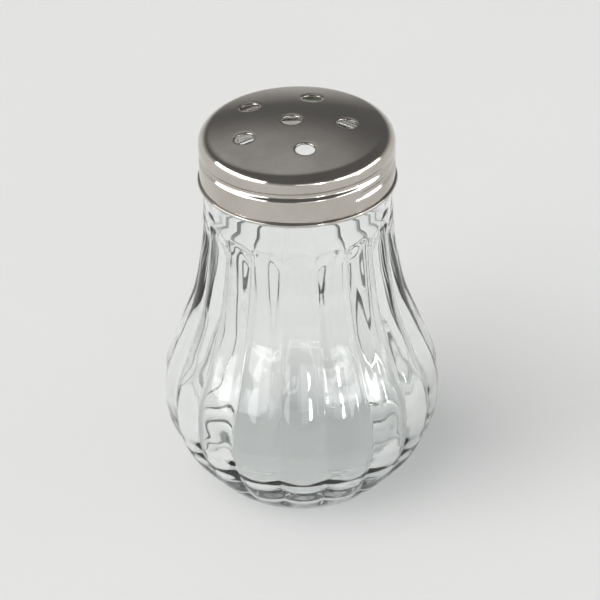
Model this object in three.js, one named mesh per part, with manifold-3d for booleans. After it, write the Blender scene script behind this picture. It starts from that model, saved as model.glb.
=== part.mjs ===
// Glass table shaker with a screwed metal cap.
// Lengths are in millimetres and angles in degrees, with +Z up. The origin is the middle of the foot,
// on the surface that the shaker stands on. The front of the shaker faces -Y.
// Three pieces: a pear-shaped pressed glass jar with eighteen upright lobes, a flat sealing ring on
// its lip, and a cap of thin polished steel with a rolled thread and six pouring holes.

import * as THREE from 'three';
import { mergeVertices } from 'three/addons/utils/BufferGeometryUtils.js';
import Module from 'manifold-3d';

// Glass jar, body
const footRadius = 19.6;            // the foot, over its rounded corner
const footCornerWidth = 1.0;
const footCornerHeight = 0.4;
const footRingWidth = 3.0;          // the flat ring that the jar stands on
const footRecessDepth = 0.8;        // the push-up inside that ring
const footFlare = 1.9;              // a plain band widens by this much above the foot's corner
const footBandHeight = 0.8;         // over this height, and then the lobes start
const bellyRadius = 33.0;           // over the crests of the lobes
const bellyHeight = 23.5;           // height of the widest place
const bodyHeight = 72.5;            // the lobes end here, and the plain neck starts
const lobeStep = 0.25;              // the lobes stand this far out of the neck where they end
const lobeStepHeight = 1.0;
const lobeFootRun = 5.0;            // the creases deepen over this height above the foot
const lobeHeadRun = 9.0;            // and run out over this height below their upper ends
const wallThickness = 3.4;          // behind a crest
const floorThickness = 4.5;         // the thick glass base, over the push-up
const floorRadius = 20.0;

// Glass jar, neck and lip
const neckRadius = 21.8;
const neckHeight = 7.2;             // the plain band between the lobes and the cap
const neckShoulderHeight = 0.9;     // the step from the neck in to the threaded finish
const finishHeight = 9.7;           // from the top of the neck to the top of the lip
const lipRounding = 0.7;

// Metal cap
const sheetThickness = 0.5;
const capNeckClearance = 0.2;       // radial room between the neck and the inside of the skirt
const capEdgeClearance = 0.3;       // between the neck's top and the cap's lowest edge
const hemRadius = 0.5;              // the edge is curled into a bead of this radius
const shoulderRadius = 3.5;         // the rounded corner between the skirt and the dome
const domeRadius = 94.0;            // the top is a shallow piece of a sphere
const holeRadius = 2.2;
const holeRingRadius = 12.6;
const holeShiftX = -1.1;            // the punched pattern stands this far off the middle of the dome
const holeShiftY = 0.2;
const cutOverrun = 1.0;             // cutters reach past the faces they cut by this much
const ridgeAnchor = 0.4;            // the glass thread starts this deep inside the finish

// Sealing ring
const sealThickness = 0.9;
const sealSideClearance = 0.5;      // between the ring's outer edge and the skirt
const sealBoreClearance = 0.4;      // the ring's inner edge stands back from the bore of the neck
const seatClearance = 0.3;          // the gap where two pieces touch

// Thread, rolled into the cap and moulded on the glass
const threadPitch = 3.0;
const capThreadDepth = 0.55;        // the rolled ridge reaches in this far from the skirt's inside
const threadCrestClearance = 0.35;  // between the glass thread and the skirt
const threadRootClearance = 0.5;    // between the cap's ridge and the glass
const grooveFrontDrop = 2.1;        // at the front the groove runs this far under the shoulder
const glassThreadTopDrop = 1.7;     // the glass thread starts this far under the lip

// Counts, angles and shares
const frontAngle = -90;
const lobeCount = 18;
const lobeHalfArc = 26;             // each lobe is an arc of twice this angle
const lobeColumns = 6;
const roundColumns = 54;
const lobeRows = 17;
const outlineSteps = 289;           // the outline's curve is read off at this many steps
const rowCrowdingPower = 1.25;      // rows stand closer near the foot and the floor
const cavityLowerRows = 6;
const cavityUpperRows = 6;
const domeRows = 4;
const shoulderRows = 5;
const hemRows = 6;
const holeColumns = 18;
const ringHoleCount = 5;
const firstHoleAngle = -4.5;
const capThreadStartTurn = -0.95;   // turns from the front, down and up the thread
const capThreadEndTurn = 0.22;
const glassThreadTurns = 1.5;
const runOutTurns = 0.09;           // each thread fades in and out over this part of a turn

// The body's outline between the belly (0, 0) and the lobes' upper ends (1, 1): the share of the
// height against the share of the way in from the belly to the neck.
const bodyOutlineShares = [
  [0, 0],
  [0.133, 0.05],
  [0.316, 0.361],
  [0.52, 0.697],
  [0.704, 0.868],
  [0.867, 0.959],
  [1, 1],
];

// The thread's section in shares of the pitch, each measured out from the middle of the ridge.
const capCrestHalfShare = 0.2;      // the cap's ridge at its tip
const capRootHalfShare = 0.47;      // and where it leaves the skirt
const grooveFloorHalfShare = 0.1;   // the groove that it leaves outside
const grooveMouthHalfShare = 0.42;
const glassCrestHalfShare = 0.07;
const glassRootHalfShare = 0.25;

// Sizes that follow from those above
const radians = THREE.MathUtils.degToRad;
const footFlatOuterRadius = footRadius - footCornerWidth;
const footFlatInnerRadius = footFlatOuterRadius - footRingWidth;
const lobeFootRadius = footRadius + footFlare;
const lobeFootHeight = footCornerHeight + footBandHeight;
const floorHeight = footRecessDepth + floorThickness;
const lobeTopRadius = neckRadius + lobeStep;
const neckTopHeight = bodyHeight + neckHeight;
const boreRadius = neckRadius - wallThickness;
const capInnerRadius = neckRadius + capNeckClearance;
const capOuterRadius = capInnerRadius + sheetThickness;
const capEdgeHeight = neckTopHeight + capEdgeClearance;
const capRidgeRadius = capInnerRadius - capThreadDepth;
const finishRadius = capRidgeRadius - threadRootClearance;
const glassThreadRadius = capInnerRadius - threadCrestClearance;
const lipHeight = neckTopHeight + finishHeight;
const sealBottom = lipHeight + seatClearance;
const sealTop = sealBottom + sealThickness;
const sealOuterRadius = capInnerRadius - sealSideClearance;
const sealInnerRadius = boreRadius - sealBoreClearance;
const shoulderInnerRadius = shoulderRadius - sheetThickness;
const shoulderCentreRadius = capOuterRadius - shoulderRadius;
// The sealing ring's upper corner touches the inside of the shoulder, which sets the shoulder's height.
const sealCornerReach = sealOuterRadius - shoulderCentreRadius;
const shoulderCentreHeight = sealTop
  - Math.sqrt((shoulderInnerRadius - seatClearance) ** 2 - sealCornerReach ** 2);
// The dome's sphere touches the shoulder's arc, so their centres lie this far apart.
const domeCentreHeight = shoulderCentreHeight
  - Math.sqrt((domeRadius - shoulderRadius) ** 2 - shoulderCentreRadius ** 2);
const domeMeetAngle = Math.asin(shoulderCentreRadius / (domeRadius - shoulderRadius));
const grooveFrontHeight = shoulderCentreHeight - grooveFrontDrop;

// The boolean library, which joins and cuts closed meshes
const wasm = await Module();
wasm.setup();

// A closed geometry as a solid: shared corners merged, triangles that collapsed on the axis dropped.
function solidOf(geometry) {
  const bare = geometry.clone();
  bare.deleteAttribute('normal');
  bare.deleteAttribute('uv');
  const merged = mergeVertices(bare);
  const index = merged.index.array;
  const kept = [];
  for (let i = 0; i < index.length; i += 3) {
    const [a, b, c] = [index[i], index[i + 1], index[i + 2]];
    if (a !== b && b !== c && c !== a) {
      kept.push(a, b, c);
    }
  }
  return new wasm.Manifold(new wasm.Mesh({
    numProp: 3,
    vertProperties: Float32Array.from(merged.attributes.position.array),
    triVerts: Uint32Array.from(kept),
  }));
}

// A solid as a geometry again
function geometryOf(solid) {
  const mesh = solid.getMesh();
  const geometry = new THREE.BufferGeometry();
  geometry.setAttribute('position', new THREE.BufferAttribute(Float32Array.from(mesh.vertProperties), 3));
  geometry.setIndex(Array.from(mesh.triVerts));
  geometry.computeVertexNormals();
  return geometry;
}

// A closed mesh from points and triangles
function meshGeometry(points, triangles) {
  const geometry = new THREE.BufferGeometry();
  geometry.setAttribute('position', new THREE.Float32BufferAttribute(points.flat(), 3));
  geometry.setIndex(triangles.flat());
  geometry.computeVertexNormals();
  return geometry;
}

// A profile of [radius, height] points turned about the Z axis, with its first column at the front
function turned(profile) {
  const points = profile.map(([radius, height]) => new THREE.Vector2(radius, height));
  return new THREE.LatheGeometry(points, roundColumns).rotateX(Math.PI / 2);
}

// Points on an arc in the [radius, height] plane, with angles measured up from the radius direction
function arc([radius, height], size, from, to, steps) {
  return Array.from({ length: steps + 1 }, (_, i) => {
    const angle = THREE.MathUtils.lerp(from, to, i / steps);
    return [radius + size * Math.cos(angle), height + size * Math.sin(angle)];
  });
}

// A surface from the pole of the underside to the pole of the inner floor, through rings of points.
// Each ring has a height, a number of columns and a radius for each angle. A ring may have half or
// twice the columns of the one before it. Columns are counted from the front.
function ringSurface(bottomPole, rings, topPole) {
  const points = [[0, 0, bottomPole]];
  const triangles = [];
  const starts = rings.map(({ height, columns, radiusAt }) => {
    const start = points.length;
    for (let i = 0; i < columns; i += 1) {
      const angle = radians(frontAngle) + (2 * Math.PI * i) / columns;
      const radius = radiusAt(angle);
      points.push([radius * Math.cos(angle), radius * Math.sin(angle), height]);
    }
    return start;
  });
  const at = (k, i) => starts[k] + (i % rings[k].columns);
  for (let i = 0; i < rings[0].columns; i += 1) {
    triangles.push([0, at(0, i + 1), at(0, i)]);
  }
  for (let k = 0; k + 1 < rings.length; k += 1) {
    const here = rings[k].columns;
    const next = rings[k + 1].columns;
    for (let i = 0; i < Math.min(here, next); i += 1) {
      if (here === next) {
        triangles.push([at(k, i), at(k, i + 1), at(k + 1, i + 1)]);
        triangles.push([at(k, i), at(k + 1, i + 1), at(k + 1, i)]);
      } else if (next > here) {
        triangles.push([at(k, i), at(k + 1, 2 * i + 1), at(k + 1, 2 * i)]);
        triangles.push([at(k, i), at(k, i + 1), at(k + 1, 2 * i + 1)]);
        triangles.push([at(k, i + 1), at(k + 1, 2 * i + 2), at(k + 1, 2 * i + 1)]);
      } else {
        triangles.push([at(k + 1, i), at(k, 2 * i), at(k, 2 * i + 1)]);
        triangles.push([at(k + 1, i), at(k, 2 * i + 1), at(k + 1, i + 1)]);
        triangles.push([at(k + 1, i + 1), at(k, 2 * i + 1), at(k, 2 * i + 2)]);
      }
    }
  }
  const last = rings.length - 1;
  const top = points.length;
  points.push([0, 0, topPole]);
  for (let i = 0; i < rings[last].columns; i += 1) {
    triangles.push([at(last, i), at(last, i + 1), top]);
  }
  return meshGeometry(points, triangles);
}

// A ridge or cutter that winds round the Z axis, in whole steps. Its section is a list of
// [radius, height] points about the winding's middle line, and over each run-out the section
// shrinks back to the root radius.
function winding(section, rootRadius, frontHeight, startTurn, endTurn) {
  const first = Math.round(startTurn * roundColumns);
  const last = Math.round(endTurn * roundColumns);
  const size = section.length;
  const points = [];
  const triangles = [];
  for (let step = first; step <= last; step += 1) {
    const angle = radians(frontAngle) + (2 * Math.PI * step) / roundColumns;
    const middle = frontHeight + (threadPitch * step) / roundColumns;
    const stepsFromEnd = Math.min(step - first, last - step) + 1;
    const fullness = THREE.MathUtils.smoothstep(stepsFromEnd, 0, runOutTurns * roundColumns);
    for (const [radius, height] of section) {
      const reach = THREE.MathUtils.lerp(rootRadius, radius, fullness);
      points.push([reach * Math.cos(angle), reach * Math.sin(angle), middle + height]);
    }
  }
  for (let step = 0; step < last - first; step += 1) {
    for (let k = 0; k < size; k += 1) {
      const a = step * size + k;
      const b = step * size + ((k + 1) % size);
      triangles.push([a, a + size, b + size]);
      triangles.push([a, b + size, b]);
    }
  }
  const end = (last - first) * size;
  for (let k = 1; k + 1 < size; k += 1) {
    triangles.push([0, k, k + 1]);
    triangles.push([end, end + k + 1, end + k]);
  }
  return meshGeometry(points, triangles);
}

// Radius over the crests of the lobes. Below the belly it falls as a parabola to the foot's band,
// and above it a smooth curve through the outline's shares leads in to the neck.
const bodyCurve = new THREE.SplineCurve(bodyOutlineShares.map(([x, y]) => new THREE.Vector2(x, y)));
const bodyPoints = bodyCurve.getPoints(outlineSteps);

function crestRadius(height) {
  if (height <= bellyHeight) {
    const below = (bellyHeight - height) / (bellyHeight - lobeFootHeight);
    return bellyRadius - (bellyRadius - lobeFootRadius) * below ** 2;
  }
  const share = Math.min((height - bellyHeight) / (bodyHeight - bellyHeight), 1);
  const next = Math.max(bodyPoints.findIndex((point) => point.x >= share), 1);
  const [a, b] = [bodyPoints[next - 1], bodyPoints[next]];
  const inward = THREE.MathUtils.mapLinear(share, a.x, b.x, a.y, b.y);
  return bellyRadius - (bellyRadius - lobeTopRadius) * inward;
}

// How far the surface falls back from the crest of its lobe: an arc of a circle across each lobe.
// One lobe faces the front.
function lobeFall(angle, height) {
  const lobeAngle = (2 * Math.PI) / lobeCount;
  const turn = (angle - radians(frontAngle)) / lobeAngle;
  const across = 2 * (turn - Math.round(turn));
  const halfWidth = crestRadius(height) * Math.sin(lobeAngle / 2);
  const arcRadius = halfWidth / Math.sin(radians(lobeHalfArc));
  const foot = THREE.MathUtils.smoothstep(height - lobeFootHeight, 0, lobeFootRun);
  const head = THREE.MathUtils.smoothstep(bodyHeight - height, 0, lobeHeadRun);
  return foot * head * (arcRadius - Math.sqrt(arcRadius ** 2 - (across * halfWidth) ** 2));
}

// Radius of the cavity, which is plain and round
function cavityRadius(height) {
  const widest = bellyRadius - wallThickness;
  if (height <= bellyHeight) {
    const below = (bellyHeight - height) / (bellyHeight - floorHeight);
    return widest - (widest - floorRadius) * below ** 2;
  }
  return Math.min(crestRadius(height) - wallThickness, widest);
}

// The glass jar, from the middle of its underside, up the outside, over the lip and down to the floor
function makeJar() {
  const round = (radius, height) => ({ height, columns: roundColumns, radiusAt: () => radius });
  const between = (from, to, count, make) => Array.from({ length: count + 1 }, (_, i) => (
    make(THREE.MathUtils.lerp(from, to, (i / count) ** rowCrowdingPower))
  ));
  const rings = [
    round(footFlatInnerRadius / 2, footRecessDepth * (1 - (1 / 2) ** 2)),
    round(footFlatInnerRadius, 0),
    round(footFlatOuterRadius, 0),
    round(footRadius, footCornerHeight),
    ...between(lobeFootHeight, bodyHeight, lobeRows, (height) => ({
      height,
      columns: lobeCount * lobeColumns,
      radiusAt: (angle) => crestRadius(height) - lobeFall(angle, height),
    })),
    round(neckRadius, bodyHeight + lobeStepHeight),
    round(neckRadius, neckTopHeight - neckShoulderHeight / 2),
    round((neckRadius + finishRadius) / 2, neckTopHeight),
    round(finishRadius, neckTopHeight + neckShoulderHeight),
    round(finishRadius, lipHeight - lipRounding),
    round(finishRadius - lipRounding, lipHeight),
    round(boreRadius + lipRounding, lipHeight),
    round(boreRadius, lipHeight - lipRounding),
    round(boreRadius, bodyHeight),
    ...between(bodyHeight, bellyHeight, cavityUpperRows, (height) => (
      round(cavityRadius(height), height)
    )).slice(1),
    ...between(floorHeight, bellyHeight, cavityLowerRows, (height) => (
      round(cavityRadius(height), height)
    )).reverse().slice(1),
  ];
  const body = solidOf(ringSurface(footRecessDepth, rings, floorHeight));
  return geometryOf(body.add(solidOf(makeGlassThread())));
}

// The glass thread runs half a pitch off the cap's ridge, so the two are in mesh.
function makeGlassThread() {
  const crest = threadPitch * glassCrestHalfShare;
  const root = threadPitch * glassRootHalfShare;
  const anchor = finishRadius - ridgeAnchor;
  const section = [
    [anchor, -root],
    [finishRadius, -root],
    [glassThreadRadius, -crest],
    [glassThreadRadius, crest],
    [finishRadius, root],
    [anchor, root],
  ];
  const frontHeight = grooveFrontHeight - threadPitch / 2;
  const endTurn = (lipHeight - glassThreadTopDrop - frontHeight) / threadPitch;
  return winding(section, anchor, frontHeight, endTurn - glassThreadTurns, endTurn);
}

// The pressed shell of the cap: a dome, a rounded shoulder, a plain skirt and a curled edge
function makeCapShell() {
  const up = Math.PI / 2;
  const meet = up - domeMeetAngle;
  const shoulder = [shoulderCentreRadius, shoulderCentreHeight];
  const hem = [capInnerRadius + hemRadius, capEdgeHeight + hemRadius];
  const dome = (size) => {
    const [, ...slope] = arc([0, domeCentreHeight], size, up, meet, domeRows);
    return [[0, domeCentreHeight + size], ...slope];
  };
  const profile = [
    ...dome(domeRadius),
    ...arc(shoulder, shoulderRadius, meet, 0, shoulderRows).slice(1),
    ...arc(hem, hemRadius, up, -2 * up, hemRows),
    ...arc(shoulder, shoulderInnerRadius, 0, meet, shoulderRows),
    ...dome(domeRadius - sheetThickness).reverse().slice(1),
  ];
  return solidOf(turned(profile.reverse()));
}

// The thread is rolled into the skirt: a ridge inside, and the groove that it leaves outside
function rollThread(shell) {
  const crest = threadPitch * capCrestHalfShare;
  const root = threadPitch * capRootHalfShare;
  const anchor = capInnerRadius + sheetThickness / 2;
  const ridge = [
    [anchor, root],
    [capInnerRadius, root],
    [capRidgeRadius, crest],
    [capRidgeRadius, -crest],
    [capInnerRadius, -root],
    [anchor, -root],
  ];
  const floor = threadPitch * grooveFloorHalfShare;
  const mouth = threadPitch * grooveMouthHalfShare;
  const flank = (mouth - floor) / capThreadDepth;
  const outside = capOuterRadius + cutOverrun;
  const groove = [
    [outside, mouth + flank * cutOverrun],
    [capOuterRadius - capThreadDepth, floor],
    [capOuterRadius - capThreadDepth, -floor],
    [outside, -mouth - flank * cutOverrun],
  ];
  const wind = (section, rootRadius) => solidOf(
    winding(section, rootRadius, grooveFrontHeight, capThreadStartTurn, capThreadEndTurn),
  );
  return shell.add(wind(ridge, anchor)).subtract(wind(groove, outside));
}

// One hole near the middle of the dome and a ring of them round it
function pierceHoles(shell) {
  const drill = new THREE.CylinderGeometry(holeRadius, holeRadius, shoulderRadius + cutOverrun, holeColumns);
  drill.rotateX(Math.PI / 2).translate(holeShiftX, holeShiftY, domeCentreHeight + domeRadius);
  const places = [[0, 0]];
  for (let i = 0; i < ringHoleCount; i += 1) {
    const angle = radians(firstHoleAngle) + (2 * Math.PI * i) / ringHoleCount;
    places.push([holeRingRadius * Math.cos(angle), holeRingRadius * Math.sin(angle)]);
  }
  return places.reduce((solid, [x, y]) => {
    const cutter = drill.clone().translate(x, y, 0);
    return solid.subtract(solidOf(cutter));
  }, shell);
}

// A flat ring that lies on the glass lip, pushed up into the cap past its thread
function makeSeal() {
  const profile = [
    [sealInnerRadius, sealBottom],
    [sealOuterRadius, sealBottom],
    [sealOuterRadius, sealTop],
    [sealInnerRadius, sealTop],
    [sealInnerRadius, sealBottom],
  ];
  return turned(profile);
}

const glass = new THREE.MeshStandardMaterial({ color: 0xdde5e3, roughness: 0.04, metalness: 0 });
const steel = new THREE.MeshStandardMaterial({ color: 0xb8b4ae, roughness: 0.08, metalness: 1 });
const sealPlastic = new THREE.MeshStandardMaterial({ color: 0xefece4, roughness: 0.5, metalness: 0 });

const shaker = new THREE.Group();

function addPiece(name, geometry, material) {
  const mesh = new THREE.Mesh(geometry, material);
  mesh.name = name;
  shaker.add(mesh);
}

addPiece('glass_jar', makeJar(), glass);
addPiece('rim_seal', makeSeal(), sealPlastic);
addPiece('screw_cap', geometryOf(pierceHoles(rollThread(makeCapShell()))), steel);

export default shaker;
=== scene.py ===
# %% [markdown]
# A glass table shaker with a screwed steel cap.
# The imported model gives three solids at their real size: the jar, the sealing ring and the cap. They
# are faceted and plain, so this lesson makes a fine surface for each one, in the same place, and then
# gives it glass, plastic or polished steel. Everything is in metres, with +Z up and the front at -Y.

import math

import bmesh
import bpy
import numpy as np
from mathutils import Matrix, Vector


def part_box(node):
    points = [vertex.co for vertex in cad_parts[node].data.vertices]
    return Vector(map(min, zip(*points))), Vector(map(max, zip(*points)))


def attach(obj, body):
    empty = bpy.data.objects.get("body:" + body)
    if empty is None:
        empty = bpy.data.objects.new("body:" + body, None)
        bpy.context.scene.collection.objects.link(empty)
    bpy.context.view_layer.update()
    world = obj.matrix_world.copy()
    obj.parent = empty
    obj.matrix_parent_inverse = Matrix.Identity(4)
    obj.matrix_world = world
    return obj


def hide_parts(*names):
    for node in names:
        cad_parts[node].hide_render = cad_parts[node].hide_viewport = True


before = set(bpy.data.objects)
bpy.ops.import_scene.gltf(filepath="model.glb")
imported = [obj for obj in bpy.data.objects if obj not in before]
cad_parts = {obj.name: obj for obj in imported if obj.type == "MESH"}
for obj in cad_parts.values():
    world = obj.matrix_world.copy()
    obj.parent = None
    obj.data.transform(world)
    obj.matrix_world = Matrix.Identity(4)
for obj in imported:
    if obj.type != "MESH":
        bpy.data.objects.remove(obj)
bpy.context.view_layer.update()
MM = 0.001

# %% [markdown]
# The main sizes come from the frame, so the fine surfaces fit it. The jar's box gives the height of
# the lip and the radius over the lobes, and the cap's box gives its lowest edge and its widest place,
# which is the curled bead. The ring's box gives the seat between them. Radii are read at the front,
# where each solid has a column of points, so they are true there.

# %% Sizes read from the frame
jar_low, jar_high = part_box("glass_jar")
cap_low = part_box("screw_cap")[0]
seal_low, seal_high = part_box("rim_seal")

belly_radius = (jar_high.y - jar_low.y) / 2
lip_height = jar_high.z
cap_edge_height = cap_low.z
hem_outer_radius = -cap_low.y
seal_bottom, seal_top = seal_low.z, seal_high.z
seal_outer_radius = -seal_low.y
print("belly radius", round(belly_radius / MM, 2), "lip at", round(lip_height / MM, 2))

# %% [markdown]
# The camera stands at the viewing angle of the photograph: 32.5 degrees above the table and straight
# in front, about 0.61 m away, with a long lens. It was held a little askew, which the roll repeats.

# %% Camera
camera_distance = 0.6145
camera_elevation = math.radians(32.5)
camera_roll = math.radians(-1.15)
camera_target_height = 46.6 * MM
focal_length = 156
sensor_width = 36

camera_data = bpy.data.cameras.new("camera")
camera_data.lens = focal_length
camera_data.sensor_width = sensor_width
camera = bpy.data.objects.new("camera", camera_data)
bpy.context.scene.collection.objects.link(camera)
back = Vector((0, -math.cos(camera_elevation), math.sin(camera_elevation)))
tilt = Matrix.Rotation(math.pi / 2 - camera_elevation, 4, "X")
roll = Matrix.Rotation(camera_roll, 4, "Z")
camera_place = Vector((0, 0, camera_target_height)) + back * camera_distance
camera.matrix_world = Matrix.Translation(camera_place) @ tilt @ roll
bpy.context.scene.camera = camera
print("camera at", [round(x, 3) for x in camera.matrix_world.translation])

# %% [markdown]
# Every piece here is one or more grids of points, worked out as whole arrays. A grid has a row for
# each place along the profile and a column for each step round it. One helper joins grids into a
# mesh, welds the edges that they share, and drops the faces that collapse on the axis.

# %% Grids to a mesh
weld_distance = 0.002 * MM
sliver_length = weld_distance / 4


def grid_faces(rows, columns, start):
    """Four corners of each cell of a grid that closes on itself after the last column."""
    row, column = np.meshgrid(np.arange(rows - 1), np.arange(columns), indexing="ij")
    after = (column + 1) % columns
    corners = (row * columns + column, row * columns + after)
    above = ((row + 1) * columns + after, (row + 1) * columns + column)
    return start + np.stack([*corners, *above], axis=-1).reshape(-1, 4)


def piece_from_grids(name, grids):
    """One mesh object from grids of points in metres, each an array (rows, columns, 3)."""
    starts = np.cumsum([0] + [grid.shape[0] * grid.shape[1] for grid in grids])
    points = np.concatenate([grid.reshape(-1, 3) for grid in grids])
    faces = np.concatenate([
        grid_faces(grid.shape[0], grid.shape[1], start) for grid, start in zip(grids, starts)
    ])
    mesh = bpy.data.meshes.new(name)
    mesh.from_pydata(points.tolist(), [], faces.tolist())
    piece = bpy.data.objects.new(name, mesh)
    bpy.context.scene.collection.objects.link(piece)
    close_seams(mesh)
    triangle_count = sum(len(polygon.vertices) - 2 for polygon in mesh.polygons)
    print(name, len(mesh.vertices), "points,", triangle_count, "triangles")
    return piece


def close_seams(mesh):
    """Welds points that lie on each other and makes every face smooth."""
    work = bmesh.new()
    work.from_mesh(mesh)
    bmesh.ops.remove_doubles(work, verts=work.verts, dist=weld_distance)
    bmesh.ops.dissolve_degenerate(work, edges=work.edges, dist=sliver_length)
    open_edges = sum(not edge.is_manifold for edge in work.edges)
    volume = work.calc_volume(signed=True)
    work.to_mesh(mesh)
    work.free()
    mesh.shade_smooth()
    print("open edges", open_edges, "volume in mm3", round(volume / MM ** 3, 1))


# %% [markdown]
# Three small formulas shape most of what follows: a soft step, a turned ring, and an arc in the
# plane of radius and height.

# %% Shape formulas
front_angle = -math.pi / 2


def smoothstep(value, start, end):
    """A soft step from 0 at start to 1 at end: 3 t^2 - 2 t^3 of the share t of the way between."""
    share = np.clip((value - start) / (end - start), 0, 1)
    return share * share * (3 - 2 * share)


def turned_points(radius, height, angle):
    """Each radius and height carried round Z to its angle: (r cos a, r sin a, z)."""
    radius, height, angle = np.broadcast_arrays(radius, height, angle)
    return np.stack([radius * np.cos(angle), radius * np.sin(angle), height], axis=-1)


def arc_points(centre_radius, centre_height, size, start, end, steps):
    """Radius and height on an arc of a circle, with its angles measured up from the radius direction."""
    angle = np.linspace(start, end, steps + 1)
    return centre_radius + size * np.cos(angle), centre_height + size * np.sin(angle)


# %% [markdown]
# The screw thread is one formula for both pieces. At every angle and height it asks which pass of the
# helix is nearest, how far above or below its middle line the point is, and how near the thread's two
# ends are. The answer is a share from 0 to 1: how much of the full depth is there.

# %% Thread formula
thread_pitch = 3.0 * MM


def thread_share(angle, height, front_height, start_turn, end_turn, half_width, run_out):
    """A cosine-squared ridge along a right-hand helix. Turns are counted from the front, and the
    helix is at front_height there. The ridge fades in and out over run_out turns at its ends."""
    turn = (angle - front_angle) / (2 * math.pi)
    lead = (height - front_height) / thread_pitch
    along = turn + np.round(lead - turn)
    offset = (lead - along) * thread_pitch
    across = np.clip(np.abs(offset) / half_width, 0, 1)
    fade = smoothstep(along, start_turn, start_turn + run_out)
    fade = fade * smoothstep(-along, -end_turn, run_out - end_turn)
    return fade * np.cos(across * math.pi / 2) ** 2


# %% [markdown]
# The jar's outline. Over the crests of the lobes the glass bellies out from the foot as a parabola,
# and above the widest place it draws in along a smooth curve to the plain neck.

# %% Jar outline
foot_radius = 19.6 * MM
foot_corner_width = 1.0 * MM
foot_corner_height = 0.4 * MM
foot_ring_width = 3.0 * MM
foot_recess_depth = 0.8 * MM
lobe_foot_radius = foot_radius + 1.9 * MM
lobe_foot_height = foot_corner_height + 0.8 * MM
belly_height = 23.5 * MM
lobe_top_height = 72.5 * MM
neck_radius = 21.8 * MM
lobe_step = 0.25 * MM
finish_height = 9.7 * MM
neck_top_height = lip_height - finish_height

# Shares of the height above the belly, and of the way in from the belly to the neck
body_outline_shares = np.array([
    [0, 0],
    [0.133, 0.05],
    [0.316, 0.361],
    [0.52, 0.697],
    [0.704, 0.868],
    [0.867, 0.959],
    [1, 1],
])

# %% Jar outline as a curve


def curve_through(points, steps):
    """A smooth curve through points: on each stretch the cubic whose slopes at both ends are half of
    the line between the neighbours. Mirrored neighbours at both ends make it start and end level."""
    before = points[1] * [-1, 1]
    after = points[-2] * [-1, 1] + [2, 0]
    padded = np.vstack([before, points, after])
    t = np.linspace(0, 1, steps, endpoint=False)[None, :, None]
    a, b, c, d = (padded[k:k + len(points) - 1, None, :] for k in range(4))
    slope_b, slope_c = (c - a) / 2, (d - b) / 2
    cubic = (2 * b - 2 * c + slope_b + slope_c) * t ** 3
    cubic = cubic + (3 * c - 3 * b - 2 * slope_b - slope_c) * t ** 2 + slope_b * t + b
    return np.vstack([cubic.reshape(-1, 2), points[-1:]])


outline_steps = 60
outline = curve_through(body_outline_shares, outline_steps)
lobe_top_radius = neck_radius + lobe_step


def crest_radius(height):
    """Radius over the lobes' crests: a parabola below the belly, and the outline curve above it."""
    below = np.clip((belly_height - height) / (belly_height - lobe_foot_height), 0, 1)
    share = np.clip((height - belly_height) / (lobe_top_height - belly_height), 0, 1)
    inward = np.interp(share, outline[:, 0], outline[:, 1])
    lower = belly_radius - (belly_radius - lobe_foot_radius) * below ** 2
    upper = belly_radius - (belly_radius - lobe_top_radius) * inward
    return np.where(height < belly_height, lower, upper)


print("radius at mid height", round(float(crest_radius(50 * MM)) / MM, 2), "mm")

# %% [markdown]
# Eighteen upright lobes are moulded on the outside, and one faces the front. Across a lobe the glass
# is an arc of a circle, and between two lobes it makes a narrow valley, a little rounded because hot
# glass doesn't fill a sharp edge. Each lobe ends in a round arch under the neck.

# %% Lobes
lobe_count = 18
columns_per_lobe = 16
lobe_half_arc = math.radians(26)
lobe_half_arc_sine = math.sin(lobe_half_arc)
crease_start_share = 0.93
arch_drop = 2.2 * MM
arch_power = 2.5
arch_edge = 0.7 * MM
head_run = 3.6 * MM
foot_run = 5.0 * MM
foot_arch_rise = 1.2 * MM

# Columns stand closer together at the creases: the place across a lobe is the sine of even steps
even_steps = (np.arange(columns_per_lobe) + 0.5) / columns_per_lobe * 2 - 1
lobe_across = np.sin(even_steps * math.pi / 2)
across = np.tile(lobe_across, lobe_count)[None, :]
lobe_number = np.repeat(np.arange(lobe_count), columns_per_lobe)[None, :]
lobe_angle = 2 * math.pi / lobe_count
jar_angle = front_angle + lobe_angle * (lobe_number + across / 2)
print(lobe_count, "lobes,", jar_angle.size, "columns round the jar")

# %% Lobe section, arches and outside


def lobe_section(across):
    """The fall from the crest of a lobe one half width wide: (1 - sqrt(1 - (s x)^2)) / s, with s the
    sine of the half arc. Past crease_start_share the slope runs out evenly to nothing."""
    place = np.minimum(np.abs(across), crease_start_share)
    fall = (1 - np.sqrt(1 - (lobe_half_arc_sine * place) ** 2)) / lobe_half_arc_sine
    slope = lobe_half_arc_sine * place / np.sqrt(1 - (lobe_half_arc_sine * place) ** 2)
    past = np.clip(np.abs(across) - crease_start_share, 0, None)
    return fall + slope * (past - past ** 2 / (2 * (1 - crease_start_share)))


def arch_share(across):
    """0 at a lobe's middle and 1 at its edges, shaped as a round arch."""
    return 1 - np.sqrt(np.clip(1 - np.abs(across) ** arch_power, 0, 1))


def lobe_fall(across, height):
    """How far the glass falls back from the crest radius, fading out at the lobe's foot and head."""
    half_width = crest_radius(height) * math.sin(lobe_angle / 2)
    start = lobe_foot_height + foot_arch_rise * arch_share(across)
    end = lobe_top_height - arch_drop * arch_share(across)
    foot = smoothstep(height, start, start + foot_run)
    head = smoothstep(-height, -end, head_run - end)
    return half_width * lobe_section(across) * foot * head


def body_radius(across, height):
    """The outside of the body: the crest radius less the lobe's fall. Where a lobe's arch ends, the
    glass steps in by lobe_step to the plain neck."""
    end = lobe_top_height - arch_drop * arch_share(across)
    outside = smoothstep(height, end - arch_edge, end + arch_edge)
    lobed = crest_radius(height) - lobe_fall(across, height)
    plain = np.maximum(crest_radius(height) - lobe_step, neck_radius)
    return lobed * (1 - outside) + plain * outside


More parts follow.
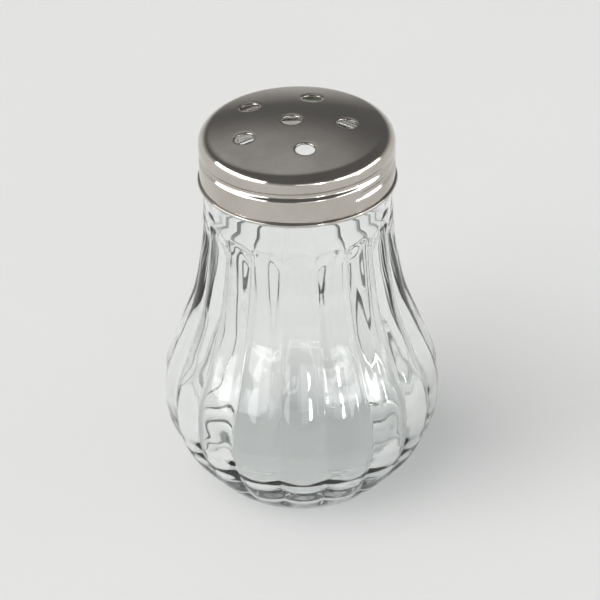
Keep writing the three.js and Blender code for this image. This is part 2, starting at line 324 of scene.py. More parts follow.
valley_depth = crest_radius(belly_height) - body_radius(1.0, belly_height)
print("the valleys are", round(float(valley_depth) / MM, 2), "mm deep at the belly")

# %% [markdown]
# The inside of the jar was blown, not pressed, so nothing shaped it but air. It follows the outside
# loosely: about a third of each lobe shows through, slow waves wander over it, and upright flow lines
# run down it, as the glass did before it set. Low in the belly it has faint level ripples, where the
# glass chilled against the mould. They make the ladders of short level lines in the lower lobes.

# %% Cavity
wall_thickness = 3.4 * MM
floor_radius = 20.0 * MM
floor_thickness = 4.5 * MM
floor_height = foot_recess_depth + floor_thickness
floor_crown = 0.25 * MM
bore_radius = neck_radius - wall_thickness
inner_lobe_share = 0.3
wave_seed = 18
wave_height = 0.07 * MM
wave_count = 14
wave_rounds = (2, 12)
wave_spacings = (12 * MM, 45 * MM)
flow_seed = 5
flow_height = 0.04 * MM
flow_count = 16
flow_rounds = (16, 42)
flow_lean = 0.05 / MM
ripple_height = 0.09 * MM
ripple_spacing = 3.6 * MM
ripple_middle = 13.0 * MM
ripple_reach = 5.5 * MM
print("bore", round(2 * bore_radius / MM, 1), "mm across, floor at", round(floor_height / MM, 1), "mm")

# %% Blown surface


def blown_waves(angle, height):
    """A sum of slow sine waves, each with its own count round the jar and spacing up it. The count and
    the spacing are drawn from wave_rounds and wave_spacings with a fixed seed."""
    chance = np.random.default_rng(wave_seed)
    total = 0
    for _ in range(wave_count):
        round_count = chance.integers(*wave_rounds)
        spacing = chance.uniform(*wave_spacings)
        phase = chance.uniform(0, 2 * math.pi)
        total = total + np.sin(round_count * angle + 2 * math.pi * height / spacing + phase)
    return total / math.sqrt(wave_count)


def flow_lines(angle, height):
    """A sum of sine waves close together round the jar, each leaning a little as it climbs."""
    chance = np.random.default_rng(flow_seed)
    total = 0
    for _ in range(flow_count):
        round_count = chance.integers(*flow_rounds)
        lean = chance.uniform(-flow_lean, flow_lean)
        phase = chance.uniform(0, 2 * math.pi)
        total = total + np.sin(round_count * angle + lean * height + phase)
    return total / math.sqrt(flow_count)


def ripples(height):
    """Level sine ripples that swell and die out about ripple_middle as a bell curve, whose height is
    1 / e of its peak at ripple_reach."""
    swell = np.exp(-((height - ripple_middle) / ripple_reach) ** 2)
    return swell * np.sin(2 * math.pi * height / ripple_spacing)


def cavity_radius(across, angle, height):
    """The inside: one wall in from the crests, a parabola below the belly, and the blown surface's
    share of the lobes, its waves and its ripples on top."""
    widest = belly_radius - wall_thickness
    below = np.clip((belly_height - height) / (belly_height - floor_height), 0, 1)
    lower = widest - (widest - floor_radius) * below ** 2
    plain = np.where(height < belly_height, lower, crest_radius(height) - wall_thickness)
    soft_lobes = inner_lobe_share * lobe_fall(across, height)
    free = smoothstep(height, floor_height, floor_height + foot_run)
    free = free * smoothstep(-height, -lobe_top_height, head_run - lobe_top_height)
    wander = wave_height * blown_waves(angle, height) + flow_height * flow_lines(angle, height)
    wander = wander + ripple_height * ripples(height)
    return plain - soft_lobes * free + wander * free


# %% [markdown]
# The whole jar is one closed skin. Its rows run from the middle of the underside, over the ring that
# it stands on, up the lobed outside, over the threaded finish and the lip, and down the inside to
# the middle of the thick floor. The finish carries one and a half turns of moulded thread.

# %% Foot and finish sizes
foot_flat_outer = foot_radius - foot_corner_width
foot_flat_inner = foot_flat_outer - foot_ring_width
recess_flat_share = 0.3
cap_neck_clearance = 0.2 * MM
thread_crest_clearance = 0.35 * MM
thread_root_clearance = 0.5 * MM
thread_depth = 0.55 * MM
cap_inner_radius = neck_radius + cap_neck_clearance
finish_radius = cap_inner_radius - thread_depth - thread_root_clearance
glass_thread_radius = cap_inner_radius - thread_crest_clearance
neck_shoulder = 0.9 * MM
neck_shoulder_run = 1.5 * neck_shoulder
lip_rounding = 0.7 * MM
groove_drop = 3.12 * MM
groove_front_height = seal_top - groove_drop
glass_thread_drop = 1.7 * MM
glass_thread_front = groove_front_height - thread_pitch / 2
glass_thread_end = (lip_height - glass_thread_drop - glass_thread_front) / thread_pitch
glass_thread_turns = 1.5
glass_thread_half_width = 0.85 * MM
run_out_turns = 0.09
print("the glass thread rises to", round((glass_thread_radius - finish_radius) / MM, 2), "mm")

# %% Row counts of the jar
# How many rows of points each stretch of the profile has, and how dish and flare space theirs
dish_row_count = 12
dish_power = 0.8
ring_row_count = 4
corner_row_count = 6
flare_row_count = 7
flare_power = 1.5
low_row_count = 104
arch_row_count = 30
arch_rows_start = 66 * MM
arch_rows_end = 74 * MM
neck_row_count = 7
step_row_count = 9
thread_row_count = 46
lip_corner_steps = 7
bore_row_count = 9
wall_row_count = 78
floor_row_count = 9

# %% Rows of the foot and the lobed outside


def plain_rows(radius, height):
    """Rows of a round profile: the same radius at every angle."""
    return turned_points(np.asarray(radius)[:, None], np.asarray(height)[:, None], jar_angle)


def underside_rows():
    """The push-up, a shallow dish with a flat middle whose height falls by a soft step, the flat
    ring, the foot's round corner, and a hollow curve out to where the lobes start."""
    dish = np.linspace(0, 1, dish_row_count) ** dish_power
    ring = np.linspace(foot_flat_inner, foot_flat_outer, ring_row_count)
    corner = np.linspace(0, math.pi / 2, corner_row_count)[1:]
    corner_radius = foot_flat_outer + foot_corner_width * np.sin(corner)
    corner_height = foot_corner_height * (1 - np.cos(corner))
    flare = np.linspace(0, 1, flare_row_count)[1:-1]
    flare_radius = foot_radius + (lobe_foot_radius - foot_radius) * flare ** flare_power
    flare_height = foot_corner_height + (lobe_foot_height - foot_corner_height) * flare
    radius = np.concatenate([dish * foot_flat_inner, ring[1:], corner_radius, flare_radius])
    dish_height = foot_recess_depth * (1 - smoothstep(dish, recess_flat_share, 1))
    height = np.concatenate([dish_height, 0 * ring[1:], corner_height, flare_height])
    return plain_rows(radius, height)


def body_rows():
    """The lobed outside, with its rows closer together where the arches end."""
    low = np.linspace(lobe_foot_height, arch_rows_start, low_row_count)
    high = np.linspace(arch_rows_start, arch_rows_end, arch_row_count)[1:]
    height = np.concatenate([low, high])[:, None]
    return turned_points(body_radius(across, height), height, jar_angle)


# %% Rows of the finish, the lip and the inside


def finish_rows():
    """The plain neck, the step in to the finish, and the finish with its thread."""
    neck = np.linspace(arch_rows_end, neck_top_height - neck_shoulder / 2, neck_row_count)[1:]
    step = np.linspace(0, 1, step_row_count)[1:]
    step_height = neck[-1] + neck_shoulder_run * step
    step_radius = neck_radius - (neck_radius - finish_radius) * smoothstep(step, 0, 1)
    finish = np.linspace(step_height[-1], lip_height - lip_rounding, thread_row_count)[1:, None]
    start = glass_thread_end - glass_thread_turns
    share = thread_share(jar_angle, finish, glass_thread_front, start, glass_thread_end,
                         glass_thread_half_width, run_out_turns)
    threaded = finish_radius + (glass_thread_radius - finish_radius) * share
    return np.concatenate([
        plain_rows(np.full(neck.size, neck_radius), neck),
        plain_rows(step_radius, step_height),
        turned_points(threaded, finish, jar_angle),
    ])


def lip_rows():
    """The lip: two round corners with a narrow flat between them, and the bore below it."""
    quarter = math.pi / 2
    centre_height = lip_height - lip_rounding
    outer = arc_points(finish_radius - lip_rounding, centre_height, lip_rounding,
                       0, quarter, lip_corner_steps)
    inner = arc_points(bore_radius + lip_rounding, centre_height, lip_rounding,
                       quarter, 2 * quarter, lip_corner_steps)
    bore = np.linspace(centre_height, lobe_top_height, bore_row_count)[1:]
    radius = np.concatenate([outer[0][1:], inner[0], np.full(bore.size, bore_radius)])
    height = np.concatenate([outer[1][1:], inner[1], bore])
    return plain_rows(radius, height)


def cavity_rows():
    """The blown inside down to the floor, whose edge is rounded and whose middle is a little crowned."""
    height = np.linspace(lobe_top_height, floor_height, wall_row_count)[1:, None]
    walls = turned_points(cavity_radius(across, jar_angle, height), height, jar_angle)
    share = np.linspace(1, 0, floor_row_count)[1:]
    crown = floor_crown * smoothstep(1 - share, 0, 1)
    return np.concatenate([walls, plain_rows(floor_radius * share, floor_height + crown)])


# %% Glass jar
jar_grid =np.concatenate([underside_rows(), body_rows(), finish_rows(), lip_rows(), cavity_rows()])
jar = piece_from_grids("jar_glass", [jar_grid])
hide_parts("glass_jar")
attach(jar, "jar")

# %% [markdown]
# The sealing ring is a flat washer of soft plastic, pushed up into the cap. Its section is a small
# rectangle with round corners, turned about the axis.

# %% Sealing ring
seal_overhang = 0.4 * MM
seal_inner_radius = bore_radius - seal_overhang
seal_rounding = 0.2 * MM
seal_corner_steps = 4
seal_columns = 144
seal_angle = (front_angle + np.arange(seal_columns) / seal_columns * 2 * math.pi)[None, :]


def seal_rows():
    """A rounded rectangle: four quarter arcs about the corners, closed on the first point."""
    quarter = math.pi / 2
    centres = [
        (seal_outer_radius - seal_rounding, seal_bottom + seal_rounding, -quarter),
        (seal_outer_radius - seal_rounding, seal_top - seal_rounding, 0),
        (seal_inner_radius + seal_rounding, seal_top - seal_rounding, quarter),
        (seal_inner_radius + seal_rounding, seal_bottom + seal_rounding, 2 * quarter),
    ]
    arcs = [
        arc_points(radius, height, seal_rounding, start, start + quarter, seal_corner_steps)
        for radius, height, start in centres
    ]
    radius = np.concatenate([arc[0] for arc in arcs] + [arcs[0][0][:1]])
    height = np.concatenate([arc[1] for arc in arcs] + [arcs[0][1][:1]])
    return turned_points(radius[:, None], height[:, None], seal_angle)


seal = piece_from_grids("sealing_ring", [seal_rows()])
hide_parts("rim_seal")
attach(seal, "seal")

# %% [markdown]
# The cap is pressed from one steel sheet, half a millimetre thick, and it is modelled as such: an
# outer skin, an inner skin one thickness behind it, and the cut walls of the holes between them.
# The top is a piece of a large sphere that meets the rounded shoulder without a kink.

# %% Cap sizes
sheet = 0.5 * MM
cap_outer_radius = cap_inner_radius + sheet
shoulder_radius = 3.5 * MM
shoulder_inner_radius = shoulder_radius - sheet
shoulder_centre_radius = cap_outer_radius - shoulder_radius
seat_clearance = 0.3 * MM
seal_corner_reach = seal_outer_radius - shoulder_centre_radius
seal_corner_rise = math.sqrt((shoulder_inner_radius - seat_clearance) ** 2 - seal_corner_reach ** 2)
shoulder_centre_height = seal_top - seal_corner_rise
dome_radius = 94 * MM
dome_centre_height = shoulder_centre_height - math.sqrt(
    (dome_radius - shoulder_radius) ** 2 - shoulder_centre_radius ** 2)
dome_meet_angle = math.asin(shoulder_centre_radius / (dome_radius - shoulder_radius))
hole_radius = 2.2 * MM
hole_ring_radius = 12.6 * MM
hole_shift = np.array([-1.1, 0.2]) * MM
ring_hole_count = 5
first_hole_angle = math.radians(-4.5)
hole_edge = 0.28 * MM
hole_inner_edge = 0.1 * MM
hole_turn_depth = 0.18 * MM
hole_turn_width = 0.7 * MM
print("dome top at", round((dome_centre_height + dome_radius) / MM, 2), "mm")

# %% [markdown]
# A plain polar grid would cut across the five holes of the ring, and a boolean cut would leave long
# thin faces that spoil a mirror. So the top is laid out in fields, one for each hole. In a field the
# grid lines run straight out from the edge of the hole to the field's outline, as rays. The fields
# are centred on the axis, but the punch stood a millimetre to the left, so the holes are not.

# %% Fields round the holes
cap_columns = 360
centre_columns = 80
field_inner_radius = 7.0 * MM
field_outer_radius = 17.4 * MM
side_steps = 14
field_rows = 14
field_row_power = 1.7
hole_edge_rows = 6
sector = 2 * math.pi / ring_hole_count
seam_angle = first_hole_angle - sector / 2
print("each field spans", round(math.degrees(sector)), "degrees")

# %% Outline of a field


def ring_arc(radius, start, end, steps):
    """Points on a level circle about the axis, the last one left out."""
    angle = np.linspace(start, end, steps, endpoint=False)
    return np.stack([radius * np.cos(angle), radius * np.sin(angle)], axis=-1)


def field_outline(middle_angle):
    """Once round the field of one hole, seen from above and anticlockwise: the outer arc, a side in,
    the inner arc back, and a side out."""
    start, end = middle_angle - sector / 2, middle_angle + sector / 2
    radii = np.linspace(field_outer_radius, field_inner_radius, side_steps, endpoint=False)[:, None]
    back_out = np.linspace(field_inner_radius, field_outer_radius, side_steps, endpoint=False)[:, None]
    side_in = radii * [[math.cos(end), math.sin(end)]]
    side_out = back_out * [[math.cos(start), math.sin(start)]]
    return np.concatenate([
        ring_arc(field_outer_radius, start, end, cap_columns // ring_hole_count),
        side_in,
        ring_arc(field_inner_radius, end, start, centre_columns // ring_hole_count),
        side_out,
    ])


# %% Surface of a field


def dome_points(plan, depth):
    """Points of the dome over a plan of x and y, and a depth in from its outer skin. They lie on the
    line to the sphere's centre: p - depth * (p - centre) / radius."""
    height = np.sqrt(dome_radius ** 2 - (plan ** 2).sum(axis=-1, keepdims=True))
    normal = np.concatenate([plan, height], axis=-1) / dome_radius
    points = normal * (dome_radius - depth[..., None])
    return points + [0, 0, dome_centre_height]


def hole_field(outline, centre):
    """The field of one hole: in along the outer skin, round the edge of the cut, and out again
    along the inner skin. Near the hole the sheet is drawn down a little by the punch."""
    ray = outline - centre
    reach = np.linalg.norm(ray, axis=-1)[None, :]
    ray = ray[None, :, :] / reach[..., None]
    share = (np.linspace(0, 1, field_rows) ** field_row_power)[:, None]
    turn = np.linspace(0, math.pi / 2, hole_edge_rows)[:, None]
    distance, depth = [], []
    for edge, face in ((hole_edge, 0), (hole_inner_edge, sheet)):
        skin = hole_radius + edge + share * (reach - hole_radius - edge)
        corner = hole_radius + edge * (1 - np.sin(turn[1:])) + 0 * reach
        corner_depth = edge * (1 - np.cos(turn[1:])) + 0 * reach
        distance.append(np.concatenate([skin[::-1], corner]))
        depth.append(np.abs(face - np.concatenate([0 * skin, corner_depth])))
    distance = np.concatenate([distance[0], distance[1][::-1]])
    depth = np.concatenate([depth[0], depth[1][::-1]])
    near = np.clip(1 - (distance - hole_radius) / hole_turn_width, 0, 1)
    plan = centre + ray * distance[..., None]
    return dome_points(plan, depth + hole_turn_depth * near ** 2)


# %% Top of the cap
centre_outline =ring_arc(field_inner_radius, seam_angle, seam_angle + 2 * math.pi, centre_columns)
fields = [hole_field(centre_outline, hole_shift)]
for number in range(ring_hole_count):
    middle = first_hole_angle + number * sector
    centre = hole_shift + hole_ring_radius * np.array([math.cos(middle), math.sin(middle)])
    fields.append(hole_field(field_outline(middle), centre))
print(len(fields), "fields round the holes")

# %% [markdown]
# Outside the fields the cap is a turned profile. The thread is rolled into the skirt from outside,
# so it shows as a groove that climbs round it, with the ridge of the same depth inside. The lower
# edge is curled outwards into a bead, and a fine line marks where the curl's own edge meets the skirt.

# %% Skirt sizes
cap_thread_start = -0.95
cap_thread_end = 0.22
groove_half_width = 1.5 * MM
ridge_half_width = 1.5 * MM
hem_radius = 0.5 * MM
hem_centre_radius = hem_outer_radius - hem_radius
hem_centre_height = cap_edge_height + hem_radius
hem_line_rise = 1.12 * hem_radius
hem_line_angle = math.pi / 2 * 1.12
cap_angle = (seam_angle + np.arange(cap_columns) / cap_columns * 2 * math.pi)[None, :]

# How many rows or steps each stretch of the profile has
outer_dome_rows = 5
outer_shoulder_steps = 24
outside_rows = 58
bead_steps = 16
inside_rows = 46
inner_shoulder_steps = 8
inner_dome_rows = 4
print("bead", round(2 * hem_radius / MM, 1), "mm thick, its middle at", round(hem_centre_height / MM, 1))

# %% Rows of the skirt


def groove(height, half_width):
    """Depth of the rolled thread at each height and angle."""
    wrapped = (cap_angle - front_angle + math.pi) % (2 * math.pi) - math.pi + front_angle
    return thread_depth * thread_share(wrapped, height, groove_front_height, cap_thread_start,
                                       cap_thread_end, half_width, run_out_turns)


def dome_profile(depth, start, end, rows):
    """Radius and height on the dome between two angles from its axis, at a depth in from its skin."""
    angle = np.linspace(start, end, rows)
    size = dome_radius - depth
    return size * np.sin(angle), dome_centre_height + size * np.cos(angle)


def skirt_rows():
    """The cap outside its fields: dome edge, shoulder, grooved skirt, bead, and back up inside."""
    field_angle = math.asin(field_outer_radius / dome_radius)
    up = math.pi / 2
    shoulder = (shoulder_centre_radius, shoulder_centre_height)
    outer_dome = dome_profile(0, field_angle, dome_meet_angle, outer_dome_rows)
    outer_shoulder = arc_points(*shoulder, shoulder_radius, up - dome_meet_angle, 0, outer_shoulder_steps)
    outer_top = np.stack([
        np.concatenate([outer_dome[0], outer_shoulder[0][1:]]),
        np.concatenate([outer_dome[1], outer_shoulder[1][1:]]),
    ])
    skirt_low = hem_centre_height + hem_line_rise
    outside = np.linspace(shoulder_centre_height, skirt_low, outside_rows)[1:, None]
    bead = arc_points(hem_centre_radius, hem_centre_height, hem_radius, hem_line_angle, -2 * up, bead_steps)
    inside = np.linspace(hem_centre_height, shoulder_centre_height, inside_rows)[1:, None]
    inner_shoulder = arc_points(*shoulder, shoulder_inner_radius, 0, up - dome_meet_angle,
                                inner_shoulder_steps)
    inner_dome = dome_profile(sheet, dome_meet_angle, field_angle, inner_dome_rows)
    inner_top = np.stack([
        np.concatenate([inner_shoulder[0][1:], inner_dome[0][1:]]),
        np.concatenate([inner_shoulder[1][1:], inner_dome[1][1:]]),
    ])
    return np.concatenate([
        turned_points(outer_top[0][:, None], outer_top[1][:, None], cap_angle),
        turned_points(cap_outer_radius - groove(outside, groove_half_width), outside, cap_angle),
        turned_points(bead[0][:, None], bead[1][:, None], cap_angle),
        turned_points(cap_inner_radius - groove(inside, ridge_half_width), inside, cap_angle),
        turned_points(inner_top[0][:, None], inner_top[1][:, None], cap_angle),
    ])


# %% Steel cap
cap_grids =[skirt_rows()[::-1]] + fields
cap = piece_from_grids("steel_cap", cap_grids)
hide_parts("screw_cap")
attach(cap, "cap")

# %% [markdown]
# Materials are built from nodes. One helper adds a node, sets what it is given and makes its links,
# and one turns an sRGB hex colour into the linear values that the shaders work in.

# %% Node and colour helpers


def linear(hex_colour):
    """sRGB hex to linear red, green and blue: c / 12.92 in the dark toe, and otherwise
    ((c + 0.055) / 1.055) to the power 2.4."""
    channels = np.array([int(hex_colour[i:i + 2], 16) for i in (1, 3, 5)]) / 255
    toe, curve = channels / 12.92, ((channels + 0.055) / 1.055) ** 2.4
    return (*np.where(channels <= 0.04045, toe, curve).tolist(), 1)


def node(tree, kind, inputs=None, **settings):
    """Adds a node. settings are its own properties; inputs are values, or sockets to link from."""
    made = tree.nodes.new(kind)
    for name, value in settings.items():
        setattr(made, name, value)
    for key, value in (inputs or {}).items():
        if isinstance(value, bpy.types.NodeSocket):
            tree.links.new(value, made.inputs[key])
        else:
            made.inputs[key].default_value = value
    return made


def new_material(name):
    """An empty node material, its tree and its output node."""
    material = bpy.data.materials.new(name)
    material.use_nodes = True
    material.node_tree.nodes.clear()
    return material, material.node_tree, node(material.node_tree, "ShaderNodeOutputMaterial")


# %% [markdown]
# The jar is clear soda-lime glass, blown in a polished iron mould. Its refractive index is 1.52. It
# is almost colourless, with a trace of green along long paths, and its skin is fire-polished, so it
# is smooth but not quite flat: slow waves of a few millimetres bend what is seen through it. Handling
# leaves a faint film, which only raises the roughness a little in patches. Light that reaches the
# table through the jar is bent four times on its way, and a path tracer finds few of those paths, so
# the table inside the jar's foot would come out far too dark. Rays to the lamps, and rays that leave a
# dull surface, therefore go straight through, and each face takes from them what real glass would.

# %% Glass material
glass_wave_size = 7.0 * MM
glass_wave_height = 0.05 * MM
glass_film_size = 16.0 * MM
glass_index = 1.52
glass_density = 6.0
glass_material, tree, output = new_material("soda_lime_glass_blown")
place = node(tree, "ShaderNodeTexCoord").outputs["Object"]
waves = node(tree, "ShaderNodeTexNoise", {"Vector": place, "Scale": 1 / glass_wave_size,
                                          "Detail": 1.0, "Roughness": 0.4})
film = node(tree, "ShaderNodeTexNoise", {"Vector": place, "Scale": 1 / glass_film_size,
                                         "Detail": 6.0, "Roughness": 0.62})
film_share = node(tree, "ShaderNodeMapRange", {"Value": film.outputs["Fac"], "From Min": 0.5,
                                               "From Max": 0.8, "To Min": 0.0, "To Max": 0.04})
tint = node(tree, "ShaderNodeValToRGB", {"Fac": film.outputs["Fac"]})
tint.color_ramp.elements[0].color = linear("#FFFFFF")
tint.color_ramp.elements[1].color = linear("#FAFCFB")
bump = node(tree, "ShaderNodeBump", {"Height": waves.outputs["Fac"], "Strength": 0.35,
                                     "Distance": glass_wave_height})
glass_shader = node(tree, "ShaderNodeBsdfPrincipled", {
    "Base Color": tint.outputs["Color"], "Roughness": film_share.outputs["Result"],
    "IOR": glass_index, "Transmission Weight": 1.0, "Normal": bump.outputs["Normal"]})
absorb = node(tree, "ShaderNodeVolumeAbsorption", {"Color": linear("#DCEDE6"), "Density": glass_density})
rays = node(tree, "ShaderNodeLightPath")
straight = node(tree, "ShaderNodeBsdfTransparent", {"Color": linear("#F1F2F2")})
to_room = node(tree, "ShaderNodeMixShader", {0: rays.outputs["Is Diffuse Ray"],
                                             1: glass_shader.outputs["BSDF"],
                                             2: straight.outputs["BSDF"]})
to_lamps = node(tree, "ShaderNodeMixShader", {0: rays.outputs["Is Shadow Ray"],
                                              1: to_room.outputs["Shader"],
                                              2: straight.outputs["BSDF"]})
tree.links.new(to_lamps.outputs["Shader"], output.inputs["Surface"])
tree.links.new(absorb.outputs["Volume"], output.inputs["Volume"])
jar.data.materials.append(glass_material)
print("glass of", len(tree.nodes), "nodes on", jar.name)

# %% [markdown]
# The cap is stainless steel, pressed and then mirror-polished. Polished steel reflects a little more
# red than blue, so it looks faintly warm. The polish leaves fine circular lines from the turning
# wheel, fingers leave soft smudges, and the sheet itself isn't perfectly even, which makes long
# reflections waver. All of that is in the roughness and the bump.

# %% Steel material
smudge_size = 9.0 * MM
polish_line_spacing = 0.5 * MM
polish_line_depth = 0.004 * MM
sheet_wave_size = 11.0 * MM
sheet_wave_height = 0.06 * MM
polish_line_roughness = 0.03
steel_material, tree, output = new_material("stainless_steel_mirror_polished")
place = node(tree, "ShaderNodeTexCoord").outputs["Object"]
smudge = node(tree, "ShaderNodeTexNoise", {"Vector": place, "Scale": 1 / smudge_size,
                                           "Detail": 7.0, "Roughness": 0.65})
level_place = node(tree, "ShaderNodeVectorMath", {0: place, 1: (1, 1, 0)}, operation="MULTIPLY")
out_from_axis = node(tree, "ShaderNodeVectorMath", {0: level_place.outputs["Vector"]}, operation="LENGTH")
up_place = node(tree, "ShaderNodeSeparateXYZ", {"Vector": place})
along_profile = node(tree, "ShaderNodeMath", {0: out_from_axis.outputs["Value"],
                                              1: up_place.outputs["Z"]}, operation="SUBTRACT")
lines = node(tree, "ShaderNodeTexNoise", {"W": along_profile.outputs["Value"],
                                          "Scale": 1 / polish_line_spacing, "Detail": 3.0},
             noise_dimensions="1D")
uneven = node(tree, "ShaderNodeTexNoise", {"Vector": place, "Scale": 1 / sheet_wave_size,
                                           "Detail": 1.0, "Roughness": 0.4})
shine = node(tree, "ShaderNodeMapRange", {"Value": smudge.outputs["Fac"], "From Min": 0.35,
                                          "From Max": 0.75, "To Min": 0.07, "To Max": 0.17})
lines_share = node(tree, "ShaderNodeMath", {0: lines.outputs["Fac"], 1: polish_line_roughness,
                                            2: shine.outputs["Result"]}, operation="MULTIPLY_ADD")
steel_tone = node(tree, "ShaderNodeValToRGB", {"Fac": smudge.outputs["Fac"]})
steel_tone.color_ramp.elements[0].position = 0.3
steel_tone.color_ramp.elements[0].color = linear("#CBC6BF")
steel_tone.color_ramp.elements[1].position = 0.8
steel_tone.color_ramp.elements[1].color = linear("#B7B1A9")
line_bump = node(tree, "ShaderNodeBump", {"Height": lines.outputs["Fac"], "Strength": 0.12,
                                          "Distance": polish_line_depth})
sheet_bump = node(tree, "ShaderNodeBump", {"Height": uneven.outputs["Fac"], "Strength": 0.4,
                                           "Distance": sheet_wave_height,
                                           "Normal": line_bump.outputs["Normal"]})
steel_shader = node(tree, "ShaderNodeBsdfPrincipled", {
    "Base Color": steel_tone.outputs["Color"], "Roughness": lines_share.outputs["Value"],
    "Metallic": 1.0, "Normal": sheet_bump.outputs["Normal"]})
tree.links.new(steel_shader.outputs["BSDF"], output.inputs["Surface"])
cap.data.materials.append(steel_material)
print("steel of", len(tree.nodes), "nodes on", cap.name)

# %% [markdown]
# The ring is polyethylene, stamped from sheet: milky, a little waxy, and soft enough to take marks.
# Light goes a short way into it, so its edges glow a little.

# %% Plastic material
seal_grain_size = 0.6 * MM
seal_grain_height = 0.03 * MM
seal_light_depth = 0.5 * MM
seal_material, tree, output = new_material("polyethylene_sheet_stamped")
place = node(tree, "ShaderNodeTexCoord").outputs["Object"]
grain = node(tree, "ShaderNodeTexNoise", {"Vector": place, "Scale": 1 / seal_grain_size, "Detail": 3.0})
seal_tone = node(tree, "ShaderNodeValToRGB", {"Fac": grain.outputs["Fac"]})
seal_tone.color_ramp.elements[0].color = linear("#E7E4DB")
seal_tone.color_ramp.elements[1].color = linear("#F3F1EA")
seal_shine = node(tree, "ShaderNodeMapRange", {"Value": grain.outputs["Fac"], "To Min": 0.38, "To Max": 0.5})
seal_bump = node(tree, "ShaderNodeBump", {"Height": grain.outputs["Fac"], "Strength": 0.2,
                                          "Distance": seal_grain_height})
seal_shader = node(tree, "ShaderNodeBsdfPrincipled", {
    "Base Color": seal_tone.outputs["Color"], "Roughness": seal_shine.outputs["Result"],
    "Subsurface Weight": 0.25, "Subsurface Scale": seal_light_depth,
    "Normal": seal_bump.outputs["Normal"]})
tree.links.new(seal_shader.outputs["BSDF"], output.inputs["Surface"])
seal.data.materials.append(seal_material)
print("plastic of", len(tree.nodes), "nodes on", seal.name)

# %% [markdown]
# The shaker stands on a plain pale floor, a wide disc with a matt painted finish. It isn't part of
# the object, so it joins no body. It lies a hair under the glass, because two surfaces in one
# place would show the foot as a black ring.

# %% Floor
floor_reach = 9.0
floor_gap = 0.02 * MM
floor_columns = 96
floor_clouds_per_metre = 6.0
floor_angle = (np.arange(floor_columns) / floor_columns * 2 * math.pi)[None, :]
floor_rings = np.array([0.0, 0.05, 0.2, 0.5, 1.0, 2.0, 4.0, floor_reach])[:, None]
floor = piece_from_grids("studio_floor", [turned_points(floor_rings, -floor_gap, floor_angle)])
floor_material, tree, output = new_material("matt_paint_floor")
place = node(tree, "ShaderNodeTexCoord").outputs["Object"]
cloud = node(tree, "ShaderNodeTexNoise", {"Vector": place, "Scale": floor_clouds_per_metre,
                                          "Detail": 3.0})
floor_tone = node(tree, "ShaderNodeValToRGB", {"Fac": cloud.outputs["Fac"]})
floor_tone.color_ramp.elements[0].color = linear("#E6E6E4")
floor_tone.color_ramp.elements[1].color = linear("#EBEBEA")
floor_shader = node(tree, "ShaderNodeBsdfPrincipled", {"Base Color": floor_tone.outputs["Color"],
                                                       "Roughness": 0.9, "Specular IOR Level": 0.1})
tree.links.new(floor_shader.outputs["BSDF"], output.inputs["Surface"])
floor.data.materials.append(floor_material)

# %% [markdown]
# Light. Wide low boxes stand like windows to the left and to the right of the front, as the
# highlights on the cap's shoulder say. Glass returns only a twenty-fifth of what it faces, so each
# window also has a small bright pane, which makes the crisp spots on the belly. The right pane stands
# lowest, because the belly leans back too little to show a higher one from the front. The windows
# light the table only at a glancing angle, so a large box overhead lights it too. Polished steel
# would show that box as a white sheet across the dome, so reflections don't see it.
# Just in front of a window the floor would be bright enough to clip to white. So the boxes are huge
# and stand far away, which lights the shaker just as small ones close by would, and the floor ends
# half way to them. The room round them is pale at the horizon and darkens upwards, which leaves the
# dome something dark to show. High up behind the shaker, to the left, the ceiling glows a little, and
# the dome shows that as a soft sheen.

# %% Lamps
lamp_target_height = 0.05
lamp_target = Vector((0, 0, lamp_target_height))
lamp_distance = 18.0


def soft_box(name, azimuth, elevation, width, height, radiance):
    """A rectangular lamp that faces the shaker. Azimuth 0 is the front, and 90 the right side. The
    power is pi times the area times the radiance that it shows."""
    data = bpy.data.lights.new(name, "AREA")
    data.shape = "RECTANGLE"
    data.size, data.size_y = width, height
    data.energy = math.pi * width * height * radiance
    lamp = bpy.data.objects.new(name, data)
    bpy.context.scene.collection.objects.link(lamp)
    a, e = math.radians(azimuth), math.radians(elevation)
    away = Vector((math.sin(a) * math.cos(e), -math.cos(a) * math.cos(e), math.sin(e)))
    turn = away.to_track_quat("Z", "Y").to_matrix().to_4x4()
    lamp.matrix_world = Matrix.Translation(lamp_target + away * lamp_distance) @ turn
    lamp.visible_camera = False
    return lamp


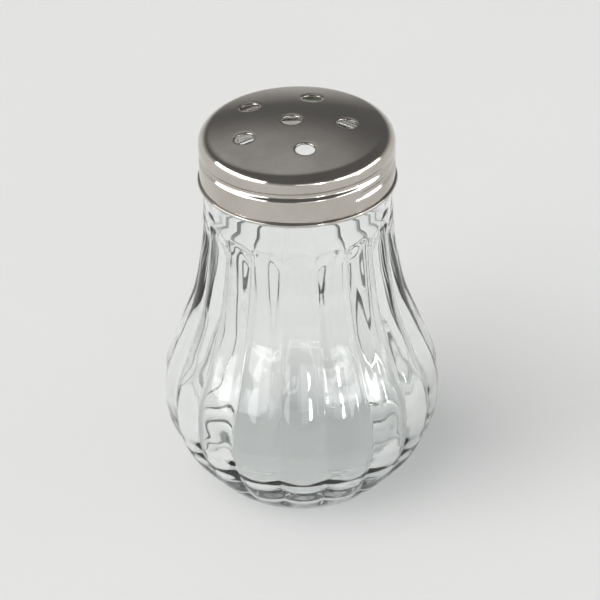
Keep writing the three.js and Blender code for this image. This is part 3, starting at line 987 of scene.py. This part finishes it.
soft_box("left_window", azimuth=-70, elevation=12, width=24.0, height=6.0, radiance=3.5)
soft_box("front_window", azimuth=20, elevation=9, width=14.4, height=1.68, radiance=1.6)
soft_box("right_window", azimuth=74, elevation=11, width=21.6, height=4.32, radiance=3.5)
soft_box("left_pane", azimuth=-64, elevation=9, width=3.6, height=1.44, radiance=25)
soft_box("front_pane", azimuth=24, elevation=7.5, width=2.64, height=0.72, radiance=35)
soft_box("right_pane", azimuth=70, elevation=3.5, width=1.12, height=2.0, radiance=25)
overhead = soft_box("overhead_box", azimuth=-55, elevation=58, width=15.6, height=13.2, radiance=4.0)
overhead.visible_glossy = False
print(len(bpy.data.lights), "boxes of light,", lamp_distance, "m away")

# %% Room
# Room heights are sines of the elevation, and the glow's edge is the cosine of its angle off the middle
pale_room_top = 0.03
dark_room_start = 0.3
glow_azimuth, glow_elevation = math.radians(-150), math.radians(60)
glow_edge = 0.72
glow_strength = 0.32
glow_direction = (math.sin(glow_azimuth) * math.cos(glow_elevation),
                  -math.cos(glow_azimuth) * math.cos(glow_elevation), math.sin(glow_elevation))
world = bpy.data.worlds.new("room")
bpy.context.scene.world = world
world.use_nodes = True
tree = world.node_tree
tree.nodes.clear()
direction = node(tree, "ShaderNodeTexCoord").outputs["Generated"]
rise = node(tree, "ShaderNodeSeparateXYZ", {"Vector": direction})
room = node(tree, "ShaderNodeValToRGB", {"Fac": rise.outputs["Z"]})
room.color_ramp.elements[0].position = pale_room_top
room.color_ramp.elements[0].color = linear("#D2D2D0")
room.color_ramp.elements[1].position = dark_room_start
room.color_ramp.elements[1].color = linear("#69696A")
towards_glow = node(tree, "ShaderNodeVectorMath", {0: direction, 1: glow_direction},
                    operation="DOT_PRODUCT")
glow = node(tree, "ShaderNodeMapRange", {"Value": towards_glow.outputs["Value"], "From Min": glow_edge,
                                         "From Max": 1.0, "To Max": glow_strength},
            interpolation_type="SMOOTHERSTEP")
room_and_glow = node(tree, "ShaderNodeVectorMath", {0: room.outputs["Color"], 1: glow.outputs["Result"]},
                     operation="ADD")
room_light = node(tree, "ShaderNodeBackground", {"Color": room_and_glow.outputs["Vector"],
                                                 "Strength": 1.0})
node(tree, "ShaderNodeOutputWorld", {"Surface": room_light.outputs["Background"]})
bpy.context.scene.view_settings.view_transform = "Standard"
print("room of", len(tree.nodes), "nodes")
